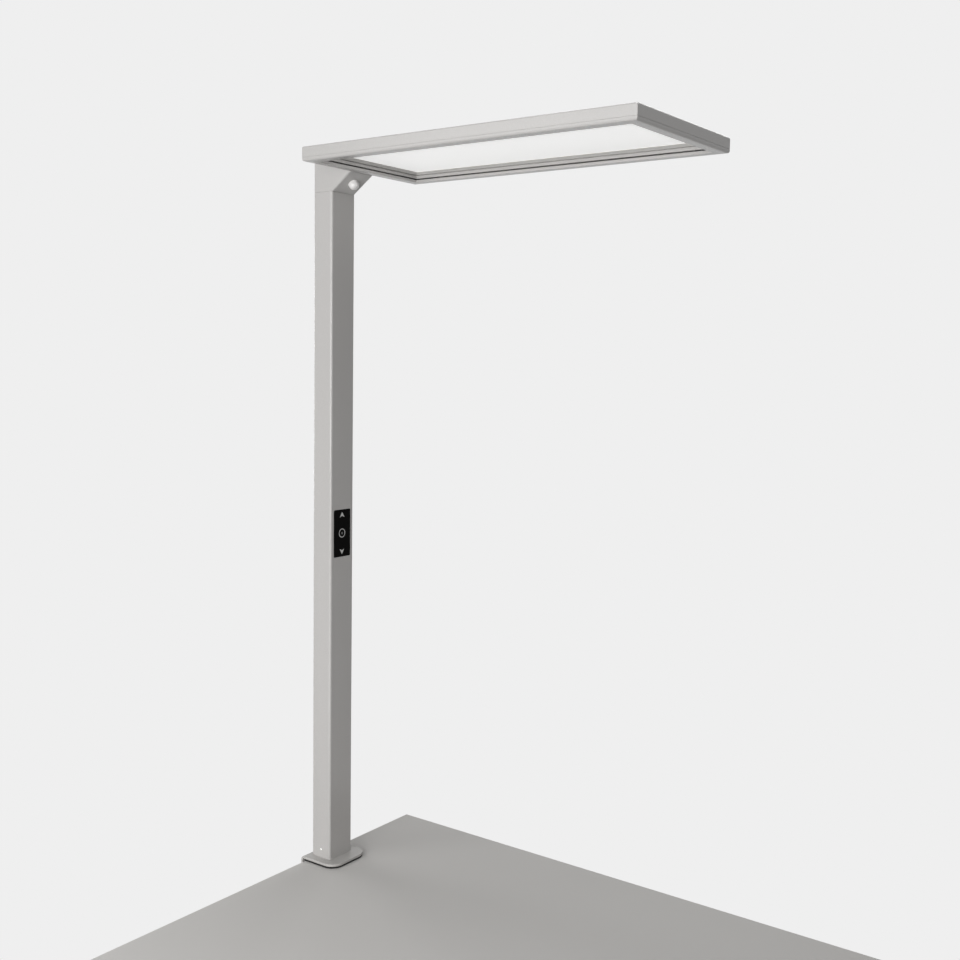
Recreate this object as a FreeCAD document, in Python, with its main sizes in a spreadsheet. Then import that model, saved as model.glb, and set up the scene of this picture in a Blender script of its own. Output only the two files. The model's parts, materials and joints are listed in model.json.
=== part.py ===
import FreeCAD, Part
import math
import os
import re
import Sketcher

# Desk clamp lamp: a clamp for the desk's back edge, a square column with a control panel,
# a neck with a presence sensor, and a flat light head. Millimetres. The origin is the
# column's centre on the desk top: +Z up, +X along the head to its free end, +Y along the desk's edge.

os.makedirs("parts", exist_ok=True)
document = FreeCAD.newDocument("DeskLamp")
sheet = document.addObject("Spreadsheet::Sheet", "dims")

SIZES = {
    # desk and clamp
    "desk_gap": 25, "desk_pad_thick": 4, "desk_pad_inset": 0.8, "desk_pad_back": 25,
    "plate_thick": 4.2, "plate_width": 95, "plate_front": 49, "plate_back": 34,
    "plate_corner": 24, "plate_edge": 0.6, "bend_round": 7, "flange_drop": 70, "flange_corner": 12,
    "jaw_thick": 5, "jaw_width": 62, "jaw_drop": 95, "jaw_top": 14, "jaw_front": 40, "jaw_corner": 16,
    "jaw_bolt": 3, "jaw_bolt_span": 36, "jaw_bolt_drop": 42, "jaw_slot": 42,
    "spindle_radius": 6, "spindle_place": 12, "spindle_length": 104, "spindle_pin": 4,
    "spindle_bevel": 0.8, "spindle_head": 6, "spindle_head_tall": 1.2, "head_recess_play": 0.4,
    "thread_play": 0.1, "foot_play": 0.15,
    "nut_radius": 9, "nut_collar": 13, "nut_collar_tall": 4, "nut_length": 16,
    "foot_radius": 20, "foot_thick": 4, "foot_boss": 10, "foot_boss_tall": 9, "foot_pad_thick": 2,
    "knob_radius": 24, "knob_tall": 22, "knob_scallop": 7, "knob_scallop_out": 3, "knob_edge": 2,
    "knob_seat": 16, "knob_pin_radius": 1.5, "knob_hub": 13,
    # column
    "column_width": 60, "column_depth": 45, "column_wall": 2.5, "column_corner": 4,
    "column_length": 1229, "port_size": 7, "seam_tall": 0.6, "seam_deep": 1.2,
    "stem_tall": 50, "stem_play": 0.2, "stem_bolt": 4, "stem_bolt_span": 20, "stem_bolt_length": 30,
    "set_screw": 2.5, "set_screw_up": 14.2, "set_screw_length": 12, "set_screw_proud": 0.5,
    "set_screw_bevel": 0.7,
    "inlet_up": 90, "inlet_hole": 8, "inlet_bore": 3.6, "inlet_collar": 10.5,
    "inlet_collar_thick": 2.5, "inlet_nose": 12, "inlet_nose_tip": 6.2, "inlet_nut": 11, "inlet_nut_tall": 4,
    # driver inside the column
    "tray_width": 36, "tray_thick": 1.5, "tray_low": 120, "tray_end": 35, "tray_screw": 2,
    "tray_screw_inset": 12, "driver_width": 30, "driver_depth": 21, "driver_length": 280,
    "tray_lip": 8, "driver_up": 35, "driver_ear": 12, "driver_ear_thick": 2, "driver_edge": 2,
    "driver_screw": 1.5, "lead_radius": 2.2, "thin_lead_radius": 1.4, "strip_lead_radius": 0.9,
    # control panel
    "panel_mid": 622.6, "panel_width": 44.2, "panel_tall": 87.6, "panel_corner": 2.5,
    "panel_play": 0.15, "panel_cut": 12, "foil_thick": 1, "panel_face": 1.5, "panel_depth": 10.5,
    "panel_wall": 1.6, "panel_post": 2.6, "panel_post_inset": 5.5, "hook_tall": 1.2, "hook_width": 14,
    "key_pitch": 34.2, "arrow_key": 7.8, "power_key_size": 9, "key_play": 0.3, "key_wing": 2,
    "key_wing_thick": 1.2, "key_inset": 0.1, "key_stem": 1.6, "key_travel": 0.35,
    "switch_side": 6, "switch_tall": 3.2, "switch_pin": 1.7, "switch_pin_tall": 0.65,
    "board_thick": 1.6, "board_play": 0.2, "board_screw": 1.25, "board_screw_length": 6,
    # neck
    "neck_rise": 30.3, "neck_reach": 43, "neck_wall": 3, "neck_floor": 4, "neck_opening": 24,
    "neck_cover_thick": 2.5, "neck_cover_lip": 1.5, "neck_cover_play": 0.15,
    "neck_post": 9, "neck_post_front": 52, "neck_screw": 1.6, "neck_screw_length": 20,
    "screw_play": 0.1, "cover_screw": 1.5, "neck_cover_screw_length": 12,
    # presence sensor in the neck's sloped face
    "sensor_up": 1, "lens_radius": 9.2, "lens_wall": 1.2, "lens_stand": 12.4, "lens_round": 7.9,
    "lens_collar": 12.3, "lens_collar_thick": 1.5, "lens_play": 0.15, "holder_step": 0.6, "holder_wall": 1.6,
    "holder_flange": 1.5, "holder_depth": 9.5, "holder_ledge": 1.5, "holder_rim": 2,
    "sensor_board_thick": 1.2, "sensor_can": 4.6, "sensor_can_tall": 4, "sensor_lead_rise": 10.5,
    "lead_bend": 7,
    # light head
    "head_length": 632, "head_width": 296, "head_thick": 24.3, "rail_width": 19.3,
    "rail_wall": 2.2, "rail_skin": 2, "rail_edge": 2.8, "lower_edge": 3.8, "lip_thick": 1.8, "lower_lip": 4.5,
    "rail_groove": 2.5, "web_thick": 1.6, "upper_lip": 11.9, "rib_place": 6.8, "rib_thick": 1.6,
    "bead_width": 3.2, "shelf_thick": 1.5, "line_place": 6.5, "line_depth": 0.5, "line_half": 0.4,
    "mitre_play": 0.08, "cover_thick": 1.2, "cover_play": 0.2, "top_screw": 1, "top_screw_length": 5,
    "top_screw_inset": 6, "top_screw_end": 40, "insert_outer": 13.3, "insert_leg": 1.5,
    "insert_tall": 5.7, "bezel_line": 1.4, "bezel_slope": 8, "bezel_slope_tall": 3.4,
    "diffuser_thick": 1.2, "diffuser_inset": 13.7,
    "guide_thick": 3, "guide_inset": 11, "reflector_thick": 0.3, "foam_inset": 12,
    "strip_tall": 8, "strip_thick": 1, "strip_inset": 9.6, "strip_end": 8, "strip_lead_out": 2.5,
    "strip_lead_up": 15, "chip_side": 3, "chip_length": 5.6, "chip_thick": 0.9, "chip_count": 28,
    "corner_arm": 50, "corner_width": 13, "corner_inset": 2.3, "corner_screw": 1.25,
    "corner_screw_far": 34, "corner_screw_out": 2.45, "nut_plate_thick": 4, "nut_plate_low": 8.6,
    "nut_plate_tall": 12, "nut_plate_length": 56, "head_screw": 1.5, "head_screw_side": 38,
    "head_screw_up": 6.6, "head_screw_low": 11, "wire_up": 14, "wire_hole": 3.9,
    "grommet_wall": 1.2, "grommet_collar": 6, "grommet_collar_thick": 1.5,
    "terminal_width": 14, "terminal_depth": 3.8, "terminal_tall": 9,
}

for line, (alias, amount) in enumerate(SIZES.items(), start=1):
    sheet.set("A%d" % line, alias)
    sheet.set("B%d" % line, str(amount))
    sheet.setAlias("B%d" % line, alias)
document.recompute()

# Places worked out from the sizes
plate_top = "(desk_pad_thick + plate_thick)"
half_width = "(column_width / 2)"
half_depth = "(column_depth / 2)"
column_top = "(%s + column_length)" % plate_top
slope_length = "sqrt(neck_rise ^ 2 + neck_reach ^ 2)"
head_start = "(%s + neck_reach)" % half_depth
head_middle = "(%s + head_length / 2)" % head_start
head_bottom = "(%s + neck_rise)" % column_top
head_top = "(%s + head_thick)" % head_bottom
web_low = "(lower_lip + rail_groove)"
web_top = "(%s + web_thick)" % web_low
cover_low = "(head_thick - cover_thick)"
bezel_low = "(upper_lip + bezel_line)"
insert_top = "(upper_lip + insert_tall)"
guide_low = "(%s + diffuser_thick)" % insert_top
guide_top = "(%s + guide_thick)" % guide_low
foam_low = "(%s + reflector_thick)" % guide_top
port_x = "(%s - column_wall - port_size / 2)" % half_depth
port_y = "(%s - column_wall - port_size / 2)" % half_width

pieces = []


def link(text):
    """Name the sheet before each size in an expression."""
    return re.sub(r"[a-z_]+", lambda found: "dims." + found[0] if found[0] in SIZES else found[0], text)


def amount_of(text):
    return float(sheet.evalExpression(link(text)))


def bind(thing, property_name, text):
    thing.setExpression(property_name, link(text))


def place(thing, x="0", y="0", z="0", axis=(0, 0, 1), turn=0):
    """Turn a piece, and bind its position to the sizes. A turn given as text is bound too."""
    angle = amount_of(turn) if isinstance(turn, str) else turn
    thing.Placement = FreeCAD.Placement(FreeCAD.Vector(), FreeCAD.Rotation(FreeCAD.Vector(*axis), angle))
    for letter, text in zip("xyz", (x, y, z)):
        bind(thing, "Placement.Base." + letter, text)
    if isinstance(turn, str):
        bind(thing, "Placement.Rotation.Angle", turn)


def origin_part(body, role):
    return next(feature for feature in body.Origin.OriginFeatures if feature.Role == role)


def new_body(label, group=False):
    body = document.addObject("PartDesign::Body", label)
    body.Label = label
    body.AllowCompound = group
    pieces.append(body)
    return body


def new_sketch(body, role, offset="0"):
    """A sketch on one of the body's own origin planes, moved along that plane's normal."""
    sketch = body.newObject("Sketcher::SketchObject", body.Label + "_sketch")
    sketch.AttachmentSupport = (origin_part(body, role), [""])
    sketch.MapMode = "FlatFace"
    bind(sketch, "AttachmentOffset.Base.z", offset)
    return sketch


def hold(sketch, geometry, point, x, y):
    """Hold a point of the sketch at two bound distances from its origin."""
    for kind, text in (("DistanceX", x), ("DistanceY", y)):
        number = sketch.addConstraint(
            Sketcher.Constraint(kind, -1, 1, geometry, point, amount_of(text))
        )
        bind(sketch, "Constraints[%d]" % number, text)


def circle(sketch, x, y, radius):
    centre = FreeCAD.Vector(amount_of(x), amount_of(y), 0)
    shape = Part.Circle(centre, FreeCAD.Vector(0, 0, 1), amount_of(radius))
    number = sketch.addGeometry(shape, False)
    hold(sketch, number, 3, x, y)
    rule = sketch.addConstraint(Sketcher.Constraint("Radius", number, amount_of(radius)))
    bind(sketch, "Constraints[%d]" % rule, radius)


def outline(sketch, corners, closed=True):
    """An outline of straight runs. A corner is (x, y), or (x, y, radius) for a rounded one."""
    spots = [FreeCAD.Vector(amount_of(c[0]), amount_of(c[1]), 0) for c in corners]
    count = len(corners)
    starts, ends, arcs = list(spots), list(spots), {}
    for i, corner in enumerate(corners):
        if len(corner) < 3:
            continue
        back = (spots[i - 1] - spots[i]).normalize()
        ahead = (spots[(i + 1) % count] - spots[i]).normalize()
        half_angle = back.getAngle(ahead) / 2
        radius = amount_of(corner[2])
        reach = radius / math.tan(half_angle)
        ends[i] = spots[i] + back * reach
        starts[i] = spots[i] + ahead * reach
        middle = (back + ahead).normalize()
        centre = spots[i] + middle * (radius / math.sin(half_angle))
        arcs[i] = Part.Arc(ends[i], centre - middle * radius, starts[i])
    first = sketch.GeometryCount
    runs = count if closed else count - 1
    for i in range(runs):
        sketch.addGeometry(Part.LineSegment(starts[i], ends[(i + 1) % count]), False)
    for i, corner in enumerate(corners):
        leaving, arriving = first + i, first + (i - 1) % count
        if not closed and i in (0, count - 1):
            hold(sketch, leaving if i == 0 else arriving, 1 if i == 0 else 2, corner[0], corner[1])
            continue
        if i not in arcs:
            sketch.addConstraint(Sketcher.Constraint("Coincident", arriving, 2, leaving, 1))
            hold(sketch, leaving, 1, corner[0], corner[1])
            continue
        arc = sketch.addGeometry(arcs[i], False)
        arc_start = sketch.getPoint(arc, 1)
        near_end, near_start = (1, 2) if arc_start.distanceToPoint(ends[i]) < 1e-6 else (2, 1)
        sketch.addConstraint(Sketcher.Constraint("Tangent", arriving, 2, arc, near_end))
        sketch.addConstraint(Sketcher.Constraint("Tangent", arc, near_start, leaving, 1))
        rule = sketch.addConstraint(Sketcher.Constraint("Radius", arc, amount_of(corner[2])))
        bind(sketch, "Constraints[%d]" % rule, corner[2])
        point = sketch.addGeometry(Part.Point(spots[i]), True)
        sketch.addConstraint(Sketcher.Constraint("PointOnObject", point, 1, arriving))
        sketch.addConstraint(Sketcher.Constraint("PointOnObject", point, 1, leaving))
        hold(sketch, point, 1, corner[0], corner[1])


def rectangle(sketch, low_x, low_y, high_x, high_y, radius=None):
    corners = [(low_x, low_y), (high_x, low_y), (high_x, high_y), (low_x, high_y)]
    outline(sketch, [corner + (radius,) for corner in corners] if radius else corners)


def hexagon(sketch, reach):
    """A regular hexagon about the sketch's origin. The reach is from its middle to a corner."""
    outline(sketch, [("%s * cos(%d)" % (reach, 60 * i), "%s * sin(%d)" % (reach, 60 * i)) for i in range(6)])


def add(body, kind, name, **settings):
    """Add a feature to a body. A setting that is text is bound to the sizes."""
    feature = body.newObject("PartDesign::" + kind, body.Label + "_" + name)
    for key, setting in settings.items():
        if isinstance(setting, str):
            bind(feature, key, setting)
        else:
            setattr(feature, key, setting)
    document.recompute()
    return feature


def pad(body, sketch, length, middle=False, back=False):
    return add(body, "Pad", "pad", Profile=sketch, Length=length, Midplane=middle, Reversed=back)


def pocket(body, sketch, depth, middle=False, back=False):
    """Cut a sketch into the body, and stop if that took nothing away."""
    before = body.Shape.Volume
    feature = add(body, "Pocket", "pocket", Profile=sketch, Length=depth, Midplane=middle, Reversed=back)
    if body.Shape.Volume > before - 1e-3:
        raise RuntimeError("a cut missed the solid: " + feature.Label)
    return feature


def revolve(body, sketch):
    return add(body, "Revolution", "turned", Profile=sketch, ReferenceAxis=(sketch, ["V_Axis"]), Angle=360.0)


def edges(body, wanted):
    """Names of the edges of the body's last feature that the test accepts."""
    shape = body.Tip.Shape
    return ["Edge%d" % (i + 1) for i, edge in enumerate(shape.Edges) if wanted(edge)]


def soften(body, kind, size, wanted):
    """Round or bevel the edges that the test accepts."""
    names = edges(body, wanted)
    setting = "Radius" if kind == "Fillet" else "Size"
    return add(body, kind, "soft", Base=(body.Tip, names), **{setting: size})


def runs_along(edge, axis):
    """True for a straight edge along one axis."""
    if edge.Curve.TypeId != "Part::GeomLine":
        return False
    direction = edge.Curve.Direction
    return abs(abs(getattr(direction, axis)) - 1) < 1e-6


def lies_at(edge, axis, text):
    """True for an edge whose whole length lies at one height along an axis."""
    box = edge.BoundBox
    level = amount_of(text)
    low, high = getattr(box, axis.upper() + "Min"), getattr(box, axis.upper() + "Max")
    return abs(low - level) < 1e-4 and abs(high - level) < 1e-4


def is_rim(edge):
    """True for a full circle, such as the rim of a hole."""
    return edge.Curve.TypeId == "Part::GeomCircle" and edge.isClosed()


def repeat(body, features, steps):
    """Repeat features along one or two axes: (axis, whole span, number)."""
    settings = {}
    for suffix, (axis, span, number) in zip(("", "2"), steps):
        settings["Direction" + suffix] = (origin_part(body, axis + "_Axis"), [""])
        settings["Length" + suffix] = span
        settings["Occurrences" + suffix] = number
    pattern = body.newObject("PartDesign::LinearPattern", body.Label + "_row")
    pattern.Originals = features
    for key, setting in settings.items():
        if isinstance(setting, str):
            bind(pattern, key, setting)
        else:
            setattr(pattern, key, setting)
    body.Tip = pattern
    document.recompute()
    return pattern


def turn_about(body, features, number):
    """Repeat features evenly round the body's own Z axis."""
    pattern = body.newObject("PartDesign::PolarPattern", body.Label + "_round")
    pattern.Originals = features
    pattern.Axis = (origin_part(body, "Z_Axis"), [""])
    pattern.Angle = 360
    pattern.Occurrences = number
    body.Tip = pattern
    document.recompute()


def rod(label, radius, length, x, y, z, axis=(0, 0, 1), turn=0):
    """A plain round piece."""
    piece = document.addObject("Part::Cylinder", label)
    piece.Label = label
    bind(piece, "Radius", radius)
    bind(piece, "Height", length)
    place(piece, x, y, z, axis, turn)
    pieces.append(piece)


def turned_piece(label, corners, *spot, **turn):
    """A round piece turned about its own Z axis."""
    body = new_body(label)
    sketch = new_sketch(body, "XZ_Plane")
    outline(sketch, corners)
    revolve(body, sketch)
    place(body, *spot, **turn)
    return body


def sheet_piece(label, low_x, low_y, high_x, high_y, low, thick, *spot):
    """A flat rectangular piece."""
    body = new_body(label)
    sketch = new_sketch(body, "XY_Plane", low)
    rectangle(sketch, low_x, low_y, high_x, high_y)
    pad(body, sketch, thick)
    place(body, *spot)
    return body


def lead(label, radius, side, corners):
    """A round wire in an upright plane, along straight runs with rounded turns."""
    body = new_body(label)
    path = new_sketch(body, "XZ_Plane")
    outline(path, corners, closed=False)
    profile = new_sketch(body, "XY_Plane", corners[0][1])
    circle(profile, corners[0][0], "0", radius)
    add(body, "AdditivePipe", "wire", Profile=profile, Spine=(path, [""]))
    place(body, "0", side)


def plain_screws(label, shank, length, places, *spot, **turn):
    """Hidden screws with plain round heads. The heads' seat is at height 0, the shanks point down."""
    body = new_body(label, group=True)
    shanks = new_sketch(body, "XY_Plane")
    heads = new_sketch(body, "XY_Plane")
    for x, y in places:
        circle(shanks, x, y, shank)
        circle(heads, x, y, "1.75 * " + shank)
    pad(body, shanks, length, back=True)
    pad(body, heads, "1.1 * " + shank)
    place(body, *spot, **turn)


def four_places(x, y):
    return [(a + x, b + y) for a in ("", "-") for b in ("", "-")]


def screws(label, shank, length, spot, steps, axis=(0, 0, 1), turn=0, sunk=False):
    """Socket screws in rows. The head's seat is at the spot, and the shank points down before the turn."""
    body = new_body(label, group=True)
    sketch = new_sketch(body, "XZ_Plane")
    tip = "-(%s)" % length
    if sunk:
        top = "0"
        head = [(shank, "-" + shank), ("2 * " + shank, top)]
    else:
        top = "1.1 * " + shank
        head = [(shank, "0"), ("1.75 * " + shank, "0"), ("1.75 * " + shank, top)]
    outline(sketch, [("0", tip), (shank, tip)] + head + [("0", top)])
    turned = revolve(body, sketch)
    socket = new_sketch(body, "XY_Plane", top)
    hexagon(socket, "(0.8 * %s)" % shank)
    cut = pocket(body, socket, "0.6 * " + shank)
    repeat(body, [turned, cut], steps)
    place(body, *spot, axis=axis, turn=turn)


# The clamp

foot_top = "(-desk_gap - foot_pad_thick)"
foot_low = "(%s - foot_thick - foot_boss_tall)" % foot_top
spindle_shoulder = "(%s - foot_play)" % foot_low
spindle_end = "(%s - spindle_length)" % spindle_shoulder
knob_top = "(%s + knob_seat)" % spindle_end


def clamp_plate():
    """Steel plate bent down behind the desk, with rounded front corners."""
    body = new_body("clamp_plate")
    profile = new_sketch(body, "XZ_Plane")
    outline(profile, [
        ("plate_front", "desk_pad_thick"), ("plate_front", plate_top),
        ("-plate_back", plate_top, "bend_round"), ("-plate_back", "-flange_drop"),
        ("plate_thick - plate_back", "-flange_drop"),
        ("plate_thick - plate_back", "desk_pad_thick", "bend_round - plate_thick"),
    ])
    pad(body, profile, "plate_width", middle=True)
    soften(body, "Fillet", "plate_corner",
           lambda edge: runs_along(edge, "z") and lies_at(edge, "x", "plate_front"))
    soften(body, "Fillet", "flange_corner",
           lambda edge: runs_along(edge, "x") and lies_at(edge, "z", "-flange_drop"))
    soften(body, "Fillet", "plate_edge",
           lambda edge: lies_at(edge, "z", plate_top) and not lies_at(edge, "x", "bend_round - plate_back"))
    stem_holes = new_sketch(body, "XY_Plane", "desk_pad_thick")
    for side in ("-", ""):
        circle(stem_holes, side + "stem_bolt_span / 2", "0", "stem_bolt")
    pocket(body, stem_holes, "plate_thick", back=True)
    soften(body, "Chamfer", "stem_bolt",
           lambda edge: is_rim(edge) and lies_at(edge, "z", "desk_pad_thick"))
    bolt_holes = new_sketch(body, "YZ_Plane", "-plate_back")
    for side in ("-", ""):
        circle(bolt_holes, side + "jaw_bolt_span / 2", "-jaw_bolt_drop", "jaw_bolt")
    pocket(body, bolt_holes, "plate_thick", back=True)


def desk_pad():
    """Black rubber pad that the plate rests on."""
    body = new_body("desk_pad")
    sketch = new_sketch(body, "XY_Plane")
    side = "(plate_width / 2 - desk_pad_inset)"
    front = "(plate_front - desk_pad_inset)"
    rounding = "plate_corner - desk_pad_inset"
    outline(sketch, [
        ("-desk_pad_back", "-" + side), (front, "-" + side, rounding),
        (front, side, rounding), ("-desk_pad_back", side),
    ])
    pad(body, sketch, "desk_pad_thick")


def lower_jaw():
    """Bent steel jaw under the desk, bolted behind the flange through two slots."""
    body = new_body("lower_jaw")
    profile = new_sketch(body, "XZ_Plane")
    back = "(plate_back + jaw_thick)"
    under = "(jaw_drop + jaw_thick)"
    outline(profile, [
        ("jaw_front", "-jaw_drop"), ("-plate_back", "-jaw_drop", "bend_round - jaw_thick"),
        ("-plate_back", "-jaw_top"), ("-" + back, "-jaw_top"),
        ("-" + back, "-" + under, "bend_round"), ("jaw_front", "-" + under),
    ])
    pad(body, profile, "jaw_width", middle=True)
    soften(body, "Fillet", "jaw_corner",
           lambda edge: (runs_along(edge, "z") and lies_at(edge, "x", "jaw_front"))
           or (runs_along(edge, "x") and lies_at(edge, "z", "-jaw_top")))
    nut_hole = new_sketch(body, "XY_Plane", "-jaw_drop")
    circle(nut_hole, "spindle_place", "0", "nut_radius")
    pocket(body, nut_hole, "jaw_thick")
    slots = new_sketch(body, "YZ_Plane", "-plate_back")
    for side in ("-", ""):
        middle = side + "jaw_bolt_span / 2"
        rectangle(slots, middle + " - jaw_bolt", "-jaw_bolt_drop - jaw_slot / 2",
                  middle + " + jaw_bolt", "-jaw_bolt_drop + jaw_slot / 2", "0.98 * jaw_bolt")
    pocket(body, slots, "jaw_thick")


def spindle_nut():
    """Flanged nut pressed into the jaw."""
    body = new_body("spindle_nut")
    sketch = new_sketch(body, "XZ_Plane")
    bore = "(spindle_radius + thread_play)"
    outline(sketch, [
        (bore, "nut_collar_tall - nut_length"), ("nut_radius", "nut_collar_tall - nut_length"),
        ("nut_radius", "0"), ("nut_collar", "0"), ("nut_collar", "nut_collar_tall"),
        (bore, "nut_collar_tall"),
    ])
    revolve(body, sketch)
    place(body, "spindle_place", "0", "-jaw_drop")


def clamp_spindle():
    """Clamp screw: a turned pin with a riveted head turns in the foot."""
    body = new_body("clamp_spindle")
    sketch = new_sketch(body, "XZ_Plane")
    rivet_top = "(%s - foot_play)" % foot_top
    rivet_low = "(%s - spindle_head_tall)" % rivet_top
    outline(sketch, [
        ("0", spindle_end), ("spindle_radius - spindle_bevel", spindle_end),
        ("spindle_radius", spindle_end + " + spindle_bevel"), ("spindle_radius", spindle_shoulder),
        ("spindle_pin", spindle_shoulder), ("spindle_pin", rivet_low), ("spindle_head", rivet_low),
        ("spindle_head", rivet_top), ("0", rivet_top),
    ])
    revolve(body, sketch)
    cross = new_sketch(body, "XZ_Plane")
    circle(cross, "0", knob_top + " - knob_seat / 2", "knob_pin_radius")
    pocket(body, cross, "4 * spindle_radius", middle=True)
    place(body, "spindle_place")


def pressure_foot():
    """Round steel foot with a boss for the spindle's pin and a recess for its riveted head."""
    body = new_body("pressure_foot")
    sketch = new_sketch(body, "XZ_Plane")
    bore = "spindle_pin + thread_play"
    recess = "spindle_head + head_recess_play"
    recess_low = "%s - spindle_head_tall - 2 * foot_play" % foot_top
    plate_low = "%s - foot_thick" % foot_top
    outline(sketch, [
        (bore, foot_low), ("foot_boss", foot_low), ("foot_boss", plate_low),
        ("foot_radius", plate_low), ("foot_radius", foot_top), (recess, foot_top),
        (recess, recess_low), (bore, recess_low),
    ])
    revolve(body, sketch)
    place(body, "spindle_place")


def clamp_knob():
    """Moulded hand wheel with scallops round its rim."""
    body = new_body("clamp_knob")
    sketch = new_sketch(body, "XZ_Plane")
    outline(sketch, [
        ("0", "-knob_tall"), ("knob_radius", "-knob_tall", "knob_edge"),
        ("knob_radius", "-0.3 * knob_tall", "knob_edge"), ("knob_hub", "-0.15 * knob_tall"),
        ("knob_hub", "0", "knob_edge / 2"), ("0", "0"),
    ])
    revolve(body, sketch)
    scallop = new_sketch(body, "XY_Plane")
    circle(scallop, "knob_radius + knob_scallop_out", "0", "knob_scallop")
    cut = pocket(body, scallop, "knob_tall")
    turn_about(body, [cut], 6)
    bore = new_sketch(body, "XY_Plane")
    circle(bore, "0", "0", "spindle_radius")
    pocket(body, bore, "knob_seat")
    cross = new_sketch(body, "XZ_Plane")
    circle(cross, "0", "-knob_seat / 2", "knob_pin_radius")
    pocket(body, cross, "3 * knob_radius", middle=True)
    place(body, "spindle_place", "0", knob_top)


clamp_plate()
desk_pad()
lower_jaw()
screws("jaw_bolts", "jaw_bolt", "jaw_thick + plate_thick",
       ("-plate_back - jaw_thick", "-jaw_bolt_span / 2", "-jaw_bolt_drop"),
       [("Y", "jaw_bolt_span", 2)], axis=(0, 1, 0), turn=-90)
spindle_nut()
clamp_spindle()
pressure_foot()
rod("foot_pad", "foot_radius", "foot_pad_thick", "spindle_place", "0", foot_top)
clamp_knob()
rod("knob_pin", "knob_pin_radius", "2 * knob_hub", "spindle_place", "knob_hub",
    "%s - knob_seat / 2" % knob_top, (1, 0, 0), 90)


# The column

stem_half_x = "(%s - column_wall - stem_play)" % half_depth
stem_half_y = "(%s - column_wall - stem_play)" % half_width
set_screw_level = "(%s + set_screw_up)" % plate_top
tray_back = "(%s - column_wall)" % half_depth
tray_front = "(%s - tray_thick)" % tray_back
tray_length = "(driver_up + driver_length + tray_end)"
tray_screw_low = "(tray_low + tray_screw_inset)"
tray_screw_top = "(tray_low + %s - tray_screw_inset)" % tray_length
driver_low = "(tray_low + driver_up)"
driver_top = "(%s + driver_length)" % driver_low
ear_low = "(%s - driver_ear / 2)" % driver_low
ear_top = "(%s + driver_ear / 2)" % driver_top


def notched(sketch, half_x, half_y, notch):
    """A rectangle with square corners cut out of it, which clears the column's four screw ports."""
    x, y = half_x, half_y
    inner_x, inner_y = "(%s - %s)" % (x, notch), "(%s - %s)" % (y, notch)
    outline(sketch, [
        ("-" + inner_x, "-" + y), (inner_x, "-" + y), (inner_x, "-" + inner_y), (x, "-" + inner_y),
        (x, inner_y), (inner_x, inner_y), (inner_x, y), ("-" + inner_x, y),
        ("-" + inner_x, inner_y), ("-" + x, inner_y), ("-" + x, "-" + inner_y),
        ("-" + inner_x, "-" + inner_y),
    ])


def set_screw_hole(body):
    """A threaded hole right across the body."""
    across = new_sketch(body, "XZ_Plane")
    circle(across, "0", set_screw_level, "set_screw")
    pocket(body, across, "column_width", middle=True)


def column_foot():
    """Steel block that stands on the plate inside the column."""
    body = new_body("column_foot")
    sketch = new_sketch(body, "XY_Plane", plate_top)
    notched(sketch, stem_half_x, stem_half_y, "port_size")
    pad(body, sketch, "stem_tall")
    bolts = new_sketch(body, "XY_Plane", plate_top)
    for side in ("-", ""):
        circle(bolts, side + "stem_bolt_span / 2", "0", "stem_bolt")
    pocket(body, bolts, "stem_bolt_length - plate_thick", back=True)
    set_screw_hole(body)


def set_screws():
    """Two headless screws that hold the column to its foot from both sides."""
    body = new_body("set_screws", group=True)
    sketch = new_sketch(body, "XY_Plane")
    outer = "(%s + set_screw_proud)" % half_width
    inner = "(%s - set_screw_length)" % outer
    outline(sketch, [
        ("0", inner), ("set_screw - set_screw_bevel", inner), ("set_screw", inner + " + set_screw_bevel"),
        ("set_screw", outer + " - set_screw_bevel"), ("set_screw - set_screw_bevel", outer), ("0", outer),
    ])
    turned = revolve(body, sketch)
    socket = new_sketch(body, "XZ_Plane", "-" + outer)
    hexagon(socket, "(set_screw / 2)")
    cut = pocket(body, socket, "set_screw", back=True)
    turn_about(body, [turned, cut], 2)
    place(body, "0", "0", set_screw_level)


def column():
    """Square aluminium tube with a screw port in each inner corner, and a fine seam below the neck."""
    body = new_body("column")
    sketch = new_sketch(body, "XY_Plane", plate_top)
    rectangle(sketch, "-" + half_depth, "-" + half_width, half_depth, half_width, "column_corner")
    notched(sketch, "(%s - column_wall)" % half_depth, "(%s - column_wall)" % half_width, "port_size")
    for x, y in four_places(port_x, port_y):
        circle(sketch, x, y, "neck_screw")
    pad(body, sketch, "column_length")
    seam = new_sketch(body, "XY_Plane", column_top)
    rectangle(seam, "-" + half_depth, "-" + half_width, half_depth, half_width)
    seam_x, seam_y = "(%s - seam_deep)" % half_depth, "(%s - seam_deep)" % half_width
    rectangle(seam, "-" + seam_x, "-" + seam_y, seam_x, seam_y, "column_corner - seam_deep")
    pocket(body, seam, "seam_tall")
    window = new_sketch(body, "YZ_Plane", half_depth)
    side, tall = "panel_width / 2", "panel_tall / 2"
    rectangle(window, "-" + side, "panel_mid - " + tall, side, "panel_mid + " + tall, "panel_corner")
    pocket(body, window, "panel_cut")
    inlet = new_sketch(body, "YZ_Plane", "-" + half_depth)
    circle(inlet, "0", "inlet_up", "inlet_hole")
    for level in (tray_screw_low, tray_screw_top):
        circle(inlet, "0", level, "tray_screw")
    pocket(body, inlet, "column_wall", back=True)
    set_screw_hole(body)


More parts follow.
